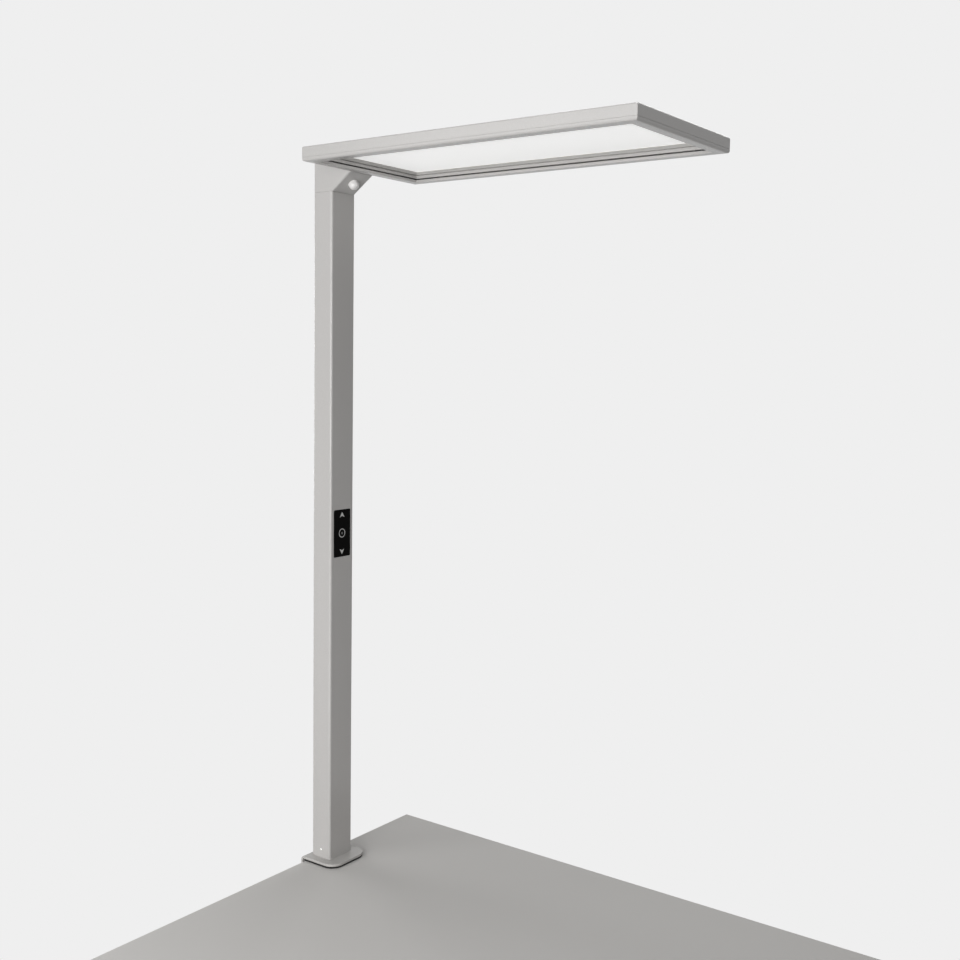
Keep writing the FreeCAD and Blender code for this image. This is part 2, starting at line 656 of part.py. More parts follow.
def driver_tray():
    """Folded steel tray on the column's rear inner wall."""
    body = new_body("driver_tray")
    sketch = new_sketch(body, "XY_Plane", "tray_low")
    outline(sketch, [
        ("-" + tray_back, "-tray_width / 2"), ("tray_lip - " + tray_back, "-tray_width / 2"),
        ("tray_lip - " + tray_back, "tray_thick - tray_width / 2"),
        ("-" + tray_front, "tray_thick - tray_width / 2"),
        ("-" + tray_front, "tray_width / 2 - tray_thick"),
        ("tray_lip - " + tray_back, "tray_width / 2 - tray_thick"),
        ("tray_lip - " + tray_back, "tray_width / 2"), ("-" + tray_back, "tray_width / 2"),
    ])
    pad(body, sketch, tray_length)
    holes = new_sketch(body, "YZ_Plane", "-" + tray_back)
    for level, radius in ((tray_screw_low, "tray_screw"), (tray_screw_top, "tray_screw"),
                          (ear_low, "driver_screw"), (ear_top, "driver_screw")):
        circle(holes, "0", level, radius)
    pocket(body, holes, "tray_thick", back=True)


def led_driver():
    """Power supply with a screw ear at each end."""
    body = new_body("led_driver")
    sketch = new_sketch(body, "XY_Plane", driver_low)
    rectangle(sketch, "-" + tray_front, "-driver_width / 2", "driver_depth - " + tray_front,
              "driver_width / 2", "driver_edge")
    pad(body, sketch, "driver_length")
    ears = new_sketch(body, "XY_Plane", driver_low + " - driver_ear")
    rectangle(ears, "-" + tray_front, "-driver_width / 3", "driver_ear_thick - " + tray_front,
              "driver_width / 3")
    pad(body, ears, "driver_length + 2 * driver_ear")
    holes = new_sketch(body, "YZ_Plane", "-" + tray_front)
    for level in (ear_low, ear_top):
        circle(holes, "0", level, "driver_screw")
    pocket(body, holes, "driver_ear_thick", back=True)


column_foot()
screws("foot_screws", "stem_bolt", "stem_bolt_length", ("-stem_bolt_span / 2", "0", "desk_pad_thick"),
       [("X", "stem_bolt_span", 2)], axis=(1, 0, 0), turn=180, sunk=True)
set_screws()
column()
turned_piece("cable_bush", [
    ("inlet_bore", "-column_wall - inlet_nut_tall"), ("inlet_hole", "-column_wall - inlet_nut_tall"),
    ("inlet_hole", "0"), ("inlet_collar", "0"), ("inlet_collar", "inlet_collar_thick", "0.8"),
    ("inlet_hole", "inlet_collar_thick"), ("inlet_nose_tip", "inlet_collar_thick + inlet_nose"),
    ("inlet_bore", "inlet_collar_thick + inlet_nose"),
], "-" + half_depth, "0", "inlet_up", axis=(0, 1, 0), turn=-90)
bush_nut = new_body("bush_nut")
nut_sketch = new_sketch(bush_nut, "YZ_Plane", "-" + tray_back)
hexagon(nut_sketch, "inlet_nut")
circle(nut_sketch, "0", "0", "inlet_hole")
pad(bush_nut, nut_sketch, "inlet_nut_tall")
place(bush_nut, "0", "0", "inlet_up")
driver_tray()
screws("tray_screws", "tray_screw", "column_wall + tray_thick", ("-" + half_depth, "0", tray_screw_low),
       [("X", "%s - 2 * tray_screw_inset" % tray_length, 2)], axis=(0, 1, 0), turn=-90)
led_driver()
plain_screws("driver_screws", "driver_screw", "driver_ear_thick + tray_thick",
             [("0", "0"), ("driver_length + driver_ear", "0")],
             "driver_ear_thick - " + tray_front, "0", ear_top, axis=(0, 1, 0), turn=90)


# Leads through the column

lead_back = "(driver_depth / 2 - %s)" % tray_front
wire_level = "(%s + wire_up)" % head_bottom
slope_angle = "atan(neck_rise / neck_reach)"
slope_sine = "(neck_rise / %s)" % slope_length
slope_cosine = "(neck_reach / %s)" % slope_length
sensor_x = "(%s + neck_reach / 2 + sensor_up * %s)" % (half_depth, slope_cosine)
sensor_z = "(%s + neck_rise / 2 + sensor_up * %s)" % (column_top, slope_sine)
rib_outer = "(rib_place + rib_thick)"
sensor_board_back = "(neck_wall + lens_collar_thick + holder_depth - holder_ledge + sensor_board_thick)"


def inside_slope(depth):
    """Position at a depth behind the neck's sloped face, on the sensor's axis."""
    return ("(%s - (%s) * %s)" % (sensor_x, depth, slope_sine),
            "(%s + (%s) * %s)" % (sensor_z, depth, slope_cosine))


board_x, board_z = inside_slope(sensor_board_back)
turn_x, turn_z = inside_slope(sensor_board_back + " + sensor_lead_rise")

lead("head_lead", "lead_radius", "0", [
    (lead_back, driver_top), (lead_back, wire_level, "2 * lead_bend"),
    ("%s + %s" % (head_start, rib_outer), wire_level),
])
lead("panel_lead", "thin_lead_radius", "lead_bend", [
    (lead_back, driver_top), (lead_back, "panel_mid - panel_tall / 3", "lead_bend"),
    ("%s - foil_thick - panel_depth" % half_depth, "panel_mid - panel_tall / 3"),
])
lead("sensor_lead", "thin_lead_radius", "-lead_bend", [
    (lead_back, driver_top), (lead_back, turn_z, "lead_bend"),
    (turn_x, turn_z, "lead_bend / 2"), (board_x, board_z),
])


# The control panel

foil_back = "(%s - foil_thick)" % half_depth
window_back = "(%s - column_wall - panel_play)" % half_depth
plate_behind = "(%s - panel_face)" % foil_back
panel_behind = "(%s - panel_depth)" % foil_back
board_front = "(%s + board_thick)" % panel_behind
pin_front = "(%s + switch_tall + switch_pin_tall)" % board_front
stem_end = "(%s + key_travel)" % pin_front
panel_half = "(panel_width / 2 - panel_play)"
panel_high = "(panel_tall / 2 - panel_play)"
post_places = four_places("(panel_width / 2 - panel_post_inset)", "(panel_tall / 2 - panel_post_inset)")
KEYS = {
    "up_key": ("key_pitch", "arrow_key"),
    "power_key": ("0", "power_key_size"),
    "down_key": ("-key_pitch", "arrow_key"),
}


def panel_outline(sketch, inset, radius=None):
    side, tall = "(%s - %s)" % (panel_half, inset), "(%s - %s)" % (panel_high, inset)
    rectangle(sketch, "-" + side, "-" + tall, side, tall, radius)


def key_holes(body, level, depth):
    holes = new_sketch(body, "YZ_Plane", level)
    for height, radius in KEYS.values():
        circle(holes, "0", height, radius + " + key_play")
    pocket(body, holes, depth)


def control_foil():
    """Thin black front sheet, flush with the column, with an opening for each key."""
    body = new_body("control_foil")
    sketch = new_sketch(body, "YZ_Plane", foil_back)
    panel_outline(sketch, "0", "panel_corner - panel_play")
    pad(body, sketch, "foil_thick")
    key_holes(body, half_depth, "foil_thick")
    place(body, "0", "0", "panel_mid")


def panel_housing():
    """Moulded box behind the foil, snapped into the column's window."""
    body = new_body("panel_housing")
    shell = new_sketch(body, "YZ_Plane", panel_behind)
    panel_outline(shell, "0", "panel_corner - panel_play")
    pad(body, shell, "panel_depth")
    hollow = new_sketch(body, "YZ_Plane", panel_behind)
    panel_outline(hollow, "panel_wall")
    pocket(body, hollow, "panel_depth - panel_face", back=True)
    posts = new_sketch(body, "YZ_Plane", board_front)
    for y, z in post_places:
        circle(posts, y, z, "panel_post")
    pad(body, posts, "panel_depth - board_thick - panel_face")
    bores = new_sketch(body, "YZ_Plane", board_front)
    for y, z in post_places:
        circle(bores, y, z, "board_screw")
    pocket(body, bores, "board_screw_length - board_thick", back=True)
    hooks = new_sketch(body, "XZ_Plane")
    for side in ("", "-"):
        root = "%s(%s - panel_wall / 2)" % (side, panel_high)
        tip = "%s(%s + hook_tall)" % (side, panel_high)
        outline(hooks, [
            (window_back, root), (window_back, tip), (window_back + " - hook_tall", tip),
            (window_back + " - 3 * hook_tall", root),
        ])
    pad(body, hooks, "hook_width", middle=True)
    key_holes(body, foil_back, "panel_face")
    place(body, "0", "0", "panel_mid")


def key(label):
    """Round push button: a cap in the front opening, wings behind the plate and a short stem."""
    height, radius = KEYS[label]
    body = new_body(label)
    wings = new_sketch(body, "YZ_Plane", plate_behind)
    side, tall = "(%s + key_wing)" % radius, "(0.6 * %s)" % radius
    rectangle(wings, "-" + side, "-" + tall, side, tall, "1")
    pad(body, wings, "key_wing_thick", back=True)
    cap = new_sketch(body, "YZ_Plane", plate_behind)
    circle(cap, "0", "0", radius)
    pad(body, cap, "panel_face + foil_thick - key_inset")
    soften(body, "Chamfer", "2 * key_inset",
           lambda edge: lies_at(edge, "x", half_depth + " - key_inset"))
    stem = new_sketch(body, "YZ_Plane", stem_end)
    circle(stem, "0", "0", "key_stem")
    pad(body, stem, "%s - key_wing_thick - %s" % (plate_behind, stem_end))
    place(body, "0", "0", "panel_mid + " + height)


def key_board():
    """Circuit board screwed to the housing's posts."""
    body = new_body("key_board")
    sketch = new_sketch(body, "YZ_Plane", panel_behind)
    panel_outline(sketch, "panel_wall - board_play")
    for y, z in post_places:
        circle(sketch, y, z, "board_screw")
    pad(body, sketch, "board_thick")
    place(body, "0", "0", "panel_mid")


def key_switches():
    """A small switch behind each key."""
    body = new_body("key_switches", group=True)
    cases = new_sketch(body, "YZ_Plane", board_front)
    pins = new_sketch(body, "YZ_Plane", board_front)
    half = "switch_side / 2"
    for height, radius in KEYS.values():
        rectangle(cases, "-" + half, "%s - %s" % (height, half), half, "%s + %s" % (height, half))
        circle(pins, "0", height, "switch_pin")
    pad(body, cases, "switch_tall")
    pad(body, pins, "switch_tall + switch_pin_tall")
    place(body, "0", "0", "panel_mid")


control_foil()
panel_housing()
for label in KEYS:
    key(label)
key_board()
key_switches()
plain_screws("board_screws", "board_screw", "board_screw_length",
             [("-(%s)" % z, y) for y, z in post_places], panel_behind, "0", "panel_mid",
             axis=(0, 1, 0), turn=-90)


# The neck

head_screw_side_half = "(head_screw_side / 2)"
neck_front = "(%s - neck_wall)" % head_start
neck_side = "(%s - neck_wall)" % half_width
neck_level = "(%s + neck_floor)" % column_top
slope = "(neck_rise / neck_reach)"
floor_front = "(%s - neck_wall * %s + (neck_floor - neck_wall * %s) / %s)" % (
    half_depth, slope_sine, slope_cosine, slope)
slope_high = "(%s + neck_wall * %s + (neck_reach - neck_wall + neck_wall * %s) * %s)" % (
    column_top, slope_cosine, slope_sine, slope)
cover_bottom = "(%s - neck_cover_thick)" % head_top
cover_post_y = "(%s - neck_post / 2)" % neck_side
lid_back = "(%s - neck_cover_lip)" % half_depth
lid_front = "(%s - neck_cover_lip)" % head_start
lid_side = "(%s - neck_cover_lip)" % half_width
post_end = "(neck_post_front + neck_post / 2)"
post_low = "(%s + (%s - %s) * %s + neck_wall / 10)" % (column_top, post_end, half_depth, slope)
low_row = "(%s + head_screw_low)" % head_bottom
high_row = "(%s + head_screw_up)" % low_row
collar_top = "(neck_wall + lens_collar_thick)"
holder_back = "(%s + holder_depth)" % collar_top
holder_seat = "(%s - holder_ledge)" % holder_back
holder_inner = "(lens_radius + holder_step)"
holder_outer = "(lens_collar + holder_wall)"
lens_hollow = "(lens_radius - lens_wall)"
hollow_round = "(lens_round - lens_wall)"


def neck_housing():
    """Cast neck: flat behind, sloped below, open at the top."""
    body = new_body("neck_housing")
    side_view = new_sketch(body, "XZ_Plane")
    outline(side_view, [
        ("-" + half_depth, column_top), (half_depth, column_top), (head_start, head_bottom),
        (head_start, head_top), ("-" + half_depth, head_top),
    ])
    pad(body, side_view, "column_width", middle=True)
    soften(body, "Fillet", "column_corner",
           lambda edge: runs_along(edge, "z") and lies_at(edge, "x", "-" + half_depth))
    soften(body, "Fillet", "column_corner",
           lambda edge: edge.Curve.TypeId == "Part::GeomLine"
           and min(abs(edge.Curve.Direction.x), abs(edge.Curve.Direction.z)) > 0.3)
    cavity = new_sketch(body, "XZ_Plane")
    outline(cavity, [
        ("neck_wall - " + half_depth, neck_level), (floor_front, neck_level),
        (neck_front, slope_high), (neck_front, head_top), ("neck_wall - " + half_depth, head_top),
    ])
    pocket(body, cavity, "2 * " + neck_side, middle=True)
    post_root = "(%s - neck_wall / 3)" % half_width
    post_face = "(%s - neck_post)" % neck_side
    for x, low in (("0", neck_level), ("neck_post_front", post_low)):
        posts = new_sketch(body, "XY_Plane", low)
        for near, far in (("-" + post_root, "-" + post_face), (post_face, post_root)):
            rectangle(posts, x + " - neck_post / 2", near, x + " + neck_post / 2", far)
        pad(body, posts, "%s - %s" % (cover_bottom, low))
    rebate = new_sketch(body, "XY_Plane", head_top)
    rectangle(rebate, "-" + lid_back, "-" + lid_side, lid_front, lid_side)
    pocket(body, rebate, "neck_cover_thick")
    bores = new_sketch(body, "XY_Plane", cover_bottom)
    for x in ("0", "neck_post_front"):
        for side in ("", "-"):
            circle(bores, x, side + cover_post_y, "cover_screw")
    pocket(body, bores, "neck_cover_screw_length")
    floor = new_sketch(body, "XY_Plane", neck_level)
    half = "neck_opening / 2"
    rectangle(floor, "-" + half, "-" + half, half, half, "neck_opening / 12")
    for x, y in four_places(port_x, port_y):
        circle(floor, x, y, "neck_screw + screw_play")
    pocket(body, floor, "neck_floor")
    end = new_sketch(body, "YZ_Plane", head_start)
    for side in ("", "-"):
        for level in (low_row, high_row):
            circle(end, side + head_screw_side_half, level, "head_screw + screw_play")
    circle(end, "0", wire_level, "wire_hole")
    pocket(body, end, "neck_wall")
    sensor = new_sketch(body, "XY_Plane")
    sensor.AttachmentOffset = FreeCAD.Placement(
        FreeCAD.Vector(), FreeCAD.Rotation(FreeCAD.Vector(0, -1, 0), amount_of(slope_angle)))
    bind(sensor, "AttachmentOffset.Rotation.Angle", slope_angle)
    bind(sensor, "AttachmentOffset.Base.x", sensor_x)
    bind(sensor, "AttachmentOffset.Base.z", sensor_z)
    circle(sensor, "0", "0", "lens_radius + lens_play")
    pocket(body, sensor, "2 * neck_wall", back=True)


def neck_cover():
    """Flat lid let into the top of the neck."""
    body = new_body("neck_cover")
    sketch = new_sketch(body, "XY_Plane", cover_bottom)
    rectangle(sketch, "neck_cover_play - " + lid_back, "neck_cover_play - " + lid_side,
              lid_front + " - neck_cover_play", lid_side + " - neck_cover_play")
    pad(body, sketch, "neck_cover_thick")
    holes = new_sketch(body, "XY_Plane", head_top)
    for x in ("0", "neck_post_front"):
        for side in ("", "-"):
            circle(holes, x, side + cover_post_y, "cover_screw")
    pocket(body, holes, "neck_cover_thick")
    soften(body, "Chamfer", "cover_screw",
           lambda edge: is_rim(edge) and lies_at(edge, "z", head_top))


def on_slope(label, corners):
    """A round piece turned about the sensor's axis, square to the sloped face."""
    return turned_piece(label, corners, sensor_x, "0", sensor_z, axis=(0, -1, 0), turn=slope_angle)


neck_housing()
neck_cover()
screws("neck_cover_screws", "cover_screw", "neck_cover_thick + neck_cover_screw_length",
       ("0", "-" + cover_post_y, head_top),
       [("X", "neck_post_front", 2), ("Y", "2 * " + cover_post_y, 2)], sunk=True)
plain_screws("neck_screws", "neck_screw", "neck_screw_length", four_places(port_x, port_y),
             "0", "0", neck_level)
on_slope("sensor_lens", [
    ("0", "-lens_stand"), ("lens_radius", "-lens_stand", "lens_round"),
    ("lens_radius", "neck_wall"), ("lens_collar", "neck_wall"), ("lens_collar", collar_top),
    (lens_hollow, collar_top), (lens_hollow, "lens_wall - lens_stand", hollow_round),
    ("0", "lens_wall - lens_stand"),
])
on_slope("sensor_holder", [
    ("lens_collar + lens_play", "neck_wall"), (holder_outer + " + holder_rim", "neck_wall"),
    (holder_outer + " + holder_rim", "neck_wall + holder_flange"),
    (holder_outer, "neck_wall + holder_flange"), (holder_outer, holder_back),
    ("lens_collar", holder_back), ("lens_collar", holder_seat), (holder_inner, holder_seat),
    (holder_inner, collar_top), ("lens_collar + lens_play", collar_top),
])
on_slope("sensor_board", [
    ("0", holder_seat + " - sensor_can_tall"), ("sensor_can", holder_seat + " - sensor_can_tall"),
    ("sensor_can", holder_seat), ("lens_collar - lens_play", holder_seat),
    ("lens_collar - lens_play", holder_seat + " + sensor_board_thick"),
    ("0", holder_seat + " + sensor_board_thick"),
])
plain_screws("head_screws", "head_screw", "neck_wall + rail_wall + nut_plate_thick",
             [(level, side + head_screw_side_half) for level in ("0", "head_screw_up")
              for side in ("", "-")],
             neck_front, "0", low_row, axis=(0, 1, 0), turn=-90)
turned_piece("head_grommet", [
    ("wire_hole - grommet_wall", "-neck_wall - rail_wall - nut_plate_thick"),
    ("wire_hole", "-neck_wall - rail_wall - nut_plate_thick"), ("wire_hole", "0"),
    ("grommet_collar", "0"), ("grommet_collar", "grommet_collar_thick"),
    ("wire_hole - grommet_wall", "grommet_collar_thick"),
], neck_front, "0", wire_level, axis=(0, 1, 0), turn=-90)


# The light head

corner_screw_line = "(%s + corner_screw_out)" % rib_outer
corner_screw_places = four_places(
    "(head_length / 2 - corner_screw_far)", "(head_width / 2 - %s)" % corner_screw_line)
corner_screw_places += four_places(
    "(head_length / 2 - %s)" % corner_screw_line, "(head_width / 2 - corner_screw_far)")
top_screw_reach = "(head_length / 2 - top_screw_end)"
top_screw_places = ["%s * %s" % (share, top_screw_reach) for share in ("-1", "-0.5", "0", "0.5", "1")]
rail_profile = [
    ("0", "0", "lower_edge"), ("rail_width", "0"), ("rail_width", "lower_lip"),
    ("rail_width - lip_thick", "lower_lip"), ("rail_width - lip_thick", "rail_skin"),
    ("rail_wall", "rail_skin"), ("rail_wall", web_low), ("rail_width", web_low),
    ("rail_width", "upper_lip"), ("rail_width - lip_thick", "upper_lip"),
    ("rail_width - lip_thick", web_top), (rib_outer, web_top), (rib_outer, cover_low),
    ("bead_width", cover_low), ("bead_width", "head_thick"), ("0", "head_thick", "rail_edge"),
    ("0", "line_place + line_half"), ("line_depth", "line_place"), ("0", "line_place - line_half"),
]


def rail(label, length, x, y, turn, joins_neck=False, holds_cover=False):
    """One side of the head's frame, mitred at both ends. Its own Y runs into the head."""
    body = new_body(label)
    sketch = new_sketch(body, "YZ_Plane")
    outline(sketch, rail_profile)
    rectangle(sketch, "rail_wall", web_top, "rib_place", cover_low + " - shelf_thick")
    pad(body, sketch, length, middle=True)
    mitres = new_sketch(body, "XY_Plane")
    for side in ("", "-"):
        beyond = "%s(%s / 2 + rail_wall - mitre_play)" % (side, length)
        outline(mitres, [
            (beyond, "-rail_wall"), (beyond, "rail_width + rail_wall"),
            ("%s(%s / 2 - rail_width - rail_wall - mitre_play)" % (side, length), "rail_width + rail_wall"),
        ])
    pocket(body, mitres, "head_thick", back=True)
    key_screws = new_sketch(body, "XY_Plane", web_top)
    for side in ("", "-"):
        place_along = "%s(%s / 2 - corner_screw_far)" % (side, length)
        circle(key_screws, place_along, corner_screw_line, "corner_screw")
    pocket(body, key_screws, "web_thick")
    if holds_cover:
        cover_screws = new_sketch(body, "XY_Plane", cover_low)
        for x_place in top_screw_places:
            circle(cover_screws, x_place, "top_screw_inset", "top_screw")
        pocket(body, cover_screws, "top_screw_length - cover_thick")
    if joins_neck:
        end = new_sketch(body, "XZ_Plane")
        for side in ("", "-"):
            for level in ("head_screw_low", "head_screw_low + head_screw_up"):
                circle(end, side + head_screw_side_half, level, "head_screw + screw_play")
        pocket(body, end, "rail_wall")
        wire = new_sketch(body, "XZ_Plane")
        circle(wire, "0", "wire_up", "wire_hole")
        pocket(body, wire, rib_outer)
    place(body, x, y, head_bottom, turn=turn)


def head_outline(sketch, inset):
    """The head's outline, moved inwards."""
    x, y = "(head_length / 2 - %s)" % inset, "(head_width / 2 - %s)" % inset
    rectangle(sketch, "-" + x, "-" + y, x, y)


def ring(body, low, high, outer, inner):
    """A frame that follows the head's outline at two distances inside it."""
    sketch = new_sketch(body, "XY_Plane", low)
    head_outline(sketch, outer)
    head_outline(sketch, inner)
    pad(body, sketch, "%s - %s" % (high, low))


def head_sheet(label, inset, low, thick):
    x, y = "(head_length / 2 - %s)" % inset, "(head_width / 2 - %s)" % inset
    return sheet_piece(label, "-" + x, "-" + y, x, y, low, thick, head_middle, "0", head_bottom)


def insert_frame():
    """Moulded bezel that carries the diffuser: a leg, a shadow gap and a face that slopes inwards."""
    body = new_body("insert_frame")
    inner = "(rail_width + bezel_slope)"
    ring(body, web_top, insert_top, "insert_outer", "(insert_outer + insert_leg)")
    ring(body, bezel_low, insert_top, "insert_outer", inner)
    wide = new_sketch(body, "XY_Plane", bezel_low)
    head_outline(wide, "rail_width")
    narrow = new_sketch(body, "XY_Plane", bezel_low + " + bezel_slope_tall")
    head_outline(narrow, inner)
    add(body, "SubtractiveLoft", "slope", Profile=wide, Sections=[narrow], Ruled=True)
    place(body, head_middle, "0", head_bottom)


def top_cover():
    """Flat lid between the rails' beads, with sunk screw holes along both long sides."""
    body = head_sheet("top_cover", "(bead_width + cover_play)", cover_low, "cover_thick")
    holes = new_sketch(body, "XY_Plane", "head_thick")
    for x in top_screw_places:
        for side in ("", "-"):
            circle(holes, x, side + "(head_width / 2 - top_screw_inset)", "top_screw")
    pocket(body, holes, "cover_thick")
    soften(body, "Chamfer", "top_screw", lambda edge: is_rim(edge) and lies_at(edge, "z", "head_thick"))


def corner_keys():
    """Four angle pieces that join the rails inside their lower chambers."""
    body = new_body("corner_keys", group=True)
    sketch = new_sketch(body, "XY_Plane", "rail_skin")
    steps = [("0", "0"), ("corner_arm", "0"), ("corner_arm", "corner_width"),
             ("corner_width", "corner_width"), ("corner_width", "corner_arm"), ("0", "corner_arm")]
    for side_x in ("", "-"):
        for side_y in ("", "-"):
            outline(sketch, [("%s(head_length / 2 - corner_inset - %s)" % (side_x, a),
                              "%s(head_width / 2 - corner_inset - %s)" % (side_y, b)) for a, b in steps])
    pad(body, sketch, "%s - rail_skin" % web_low)
    holes = new_sketch(body, "XY_Plane", web_low)
    for x, y in corner_screw_places:
        circle(holes, x, y, "corner_screw")
    pocket(body, holes, "%s - rail_skin" % web_low)
    place(body, head_middle, "0", head_bottom)


def led_chips():
    """Small light sources along both long sides."""
    body = new_body("led_chips", group=True)
    sketch = new_sketch(body, "XY_Plane", "(%s + %s - chip_side) / 2" % (guide_low, guide_top))
    start = "(strip_inset + strip_end - head_length / 2)"
    low = "(%s + strip_thick - head_width / 2)" % rib_outer
    rectangle(sketch, start, low, start + " + chip_length", low + " + chip_thick")
    chip = pad(body, sketch, "chip_side")
    repeat(body, [chip], [
        ("X", "head_length - 2 * strip_inset - 2 * strip_end - chip_length", "chip_count"),
        ("Y", "head_width - 2 * %s - 2 * strip_thick - chip_thick" % rib_outer, 2),
    ])
    place(body, head_middle, "0", head_bottom)


def head_nut_plate():
    """Threaded plate in the end rail's upper chamber."""
    body = new_body("head_nut_plate")
    sketch = new_sketch(body, "YZ_Plane", "rail_wall")
    side = "nut_plate_length / 2"
    rectangle(sketch, "-" + side, "nut_plate_low", side, "nut_plate_low + nut_plate_tall")
    for mirror in ("", "-"):
        for level in ("head_screw_low", "head_screw_low + head_screw_up"):
            circle(sketch, mirror + head_screw_side_half, level, "head_screw")
    circle(sketch, "0", "wire_up", "wire_hole")
    pad(body, sketch, "nut_plate_thick")
    place(body, head_start, "0", head_bottom)


def led_strip(label, y, turn):
    """Narrow circuit board standing against the rail's rib. It is drawn for the near rail."""
    x = "(head_length / 2 - strip_inset)"
    body = sheet_piece(label, "-" + x, rib_outer, x, rib_outer + " + strip_thick",
                       guide_top + " - strip_tall", "strip_tall")
    place(body, head_middle, y, head_bottom, turn=turn)


def strip_leads():
    """Two straight wires from the terminal to the strips."""
    body = new_body("strip_leads", group=True)
    reach = "(head_width / 2 - %s - strip_thick)" % rib_outer
    for level, inwards in ((reach, True), ("-" + reach, False)):
        sketch = new_sketch(body, "XZ_Plane", level)
        circle(sketch, rib_outer + " + strip_lead_out", "strip_lead_up", "strip_lead_radius")
        pad(body, sketch, "%s - terminal_width / 2" % reach, back=inwards)
    place(body, head_start, "0", head_bottom)


rail("near_rail", "head_length", head_middle, "-head_width / 2", 0, holds_cover=True)
rail("far_rail", "head_length", head_middle, "head_width / 2", 180, holds_cover=True)
rail("neck_end_rail", "head_width", head_start, "0", -90, joins_neck=True)
rail("free_end_rail", "head_width", head_start + " + head_length", "0", 90)
corner_keys()
plain_screws("corner_key_screws", "corner_screw", "%s - rail_skin" % web_top, corner_screw_places,
             head_middle, "0", "%s + %s" % (head_bottom, web_top))
insert_frame()
head_sheet("diffuser", "diffuser_inset", insert_top, "diffuser_thick")
head_sheet("light_guide", "guide_inset", guide_low, "guide_thick")
head_sheet("reflector_sheet", "foam_inset", guide_top, "reflector_thick")
head_sheet("foam_pad", "foam_inset", foam_low, "%s - %s" % (cover_low, foam_low))
top_cover()
screws("top_cover_screws", "top_screw", "top_screw_length",
       (head_start + " + top_screw_end", "top_screw_inset - head_width / 2", head_top),
       [("X", "2 * " + top_screw_reach, len(top_screw_places)), ("Y", "head_width - 2 * top_screw_inset", 2)],
       sunk=True)
led_strip("near_led_strip", "-head_width / 2", 0)
led_strip("far_led_strip", "head_width / 2", 180)
led_chips()
head_nut_plate()
sheet_piece("head_terminal", rib_outer, "-terminal_width / 2", rib_outer + " + terminal_depth",
            "terminal_width / 2", web_top, "terminal_tall", head_start, "0", head_bottom)
strip_leads()

# Check every feature and piece, then write one file for each piece

document.recompute()
for thing in document.Objects:
    if "Invalid" in thing.State or "Error" in thing.State:
        raise RuntimeError("not built: " + thing.Label)
for piece in pieces:
    if piece.Shape.isNull() or not piece.Shape.isValid():
        raise RuntimeError("no valid solid: " + piece.Label)
for piece in pieces:
    piece.Shape.exportStep("parts/%s.step" % piece.Label)
    box = piece.Shape.BoundBox
    print("%-20s %3d solids %10.1f mm3  x %.1f %.1f  y %.1f %.1f  z %.1f %.1f" % (
        piece.Label, len(piece.Shape.Solids), piece.Shape.Volume,
        box.XMin, box.XMax, box.YMin, box.YMax, box.ZMin, box.ZMax))
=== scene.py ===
import json
import math

import bmesh
import bpy
from mathutils import Matrix, Vector


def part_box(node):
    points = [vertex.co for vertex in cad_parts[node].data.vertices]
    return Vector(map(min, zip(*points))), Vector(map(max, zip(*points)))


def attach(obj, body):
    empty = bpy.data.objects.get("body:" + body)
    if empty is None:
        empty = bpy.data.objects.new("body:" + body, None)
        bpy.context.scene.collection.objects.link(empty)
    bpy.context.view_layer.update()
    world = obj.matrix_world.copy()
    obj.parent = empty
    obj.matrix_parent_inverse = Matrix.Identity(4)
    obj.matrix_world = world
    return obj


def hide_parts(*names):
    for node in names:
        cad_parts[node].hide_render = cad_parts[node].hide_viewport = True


# A desk clamp lamp with a powder-coated column, neck and flat head.
# Lengths are metres in the model's own frame: the origin is on the desk top, under the column's centre.

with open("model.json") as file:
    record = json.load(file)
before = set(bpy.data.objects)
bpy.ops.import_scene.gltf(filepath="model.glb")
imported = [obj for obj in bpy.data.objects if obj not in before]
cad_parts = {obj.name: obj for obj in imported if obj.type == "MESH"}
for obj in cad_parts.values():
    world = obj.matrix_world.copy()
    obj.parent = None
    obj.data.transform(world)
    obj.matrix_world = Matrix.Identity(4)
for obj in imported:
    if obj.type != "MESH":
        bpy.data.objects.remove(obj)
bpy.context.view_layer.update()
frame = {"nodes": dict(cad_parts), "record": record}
nodes = frame["nodes"]

# The photograph's camera: image and focal length in pixels, turns in radians, sensor in millimetres
IMAGE_SIDE = 960
FOCAL_PIXELS = 1181.28
CAMERA_PLACE = Vector((1.49907, -1.59017, 0.93332))
CAMERA_YAW = 2.2026
CAMERA_PITCH = -0.09647
CAMERA_ROLL = 0.01604
CAMERA_NEAR = 0.05
CAMERA_FAR = 30
SENSOR_SIDE = 36

# The desk top that the lamp is clamped to, a little thinner than the clamp's opening at rest
DESK_BACK = -0.0235
DESK_SIDE = 0.2500
DESK_NEAR = -0.65
DESK_REACH = 1.4
DESK_PLAY = 0.0005

# The printed signs on the keys
PRINT_HEIGHT = 0.00004
ARROW_TIP = 0.0053
ARROW_BASE = 0.0049
ARROW_NOTCH = 0.0022
ARROW_HALF_WIDTH = 0.0062
RING_OUTER = 0.0083
RING_INNER = 0.0069
RING_STEPS = 64
BAR_RADIUS = 0.0006
BAR_REACH = 0.0014

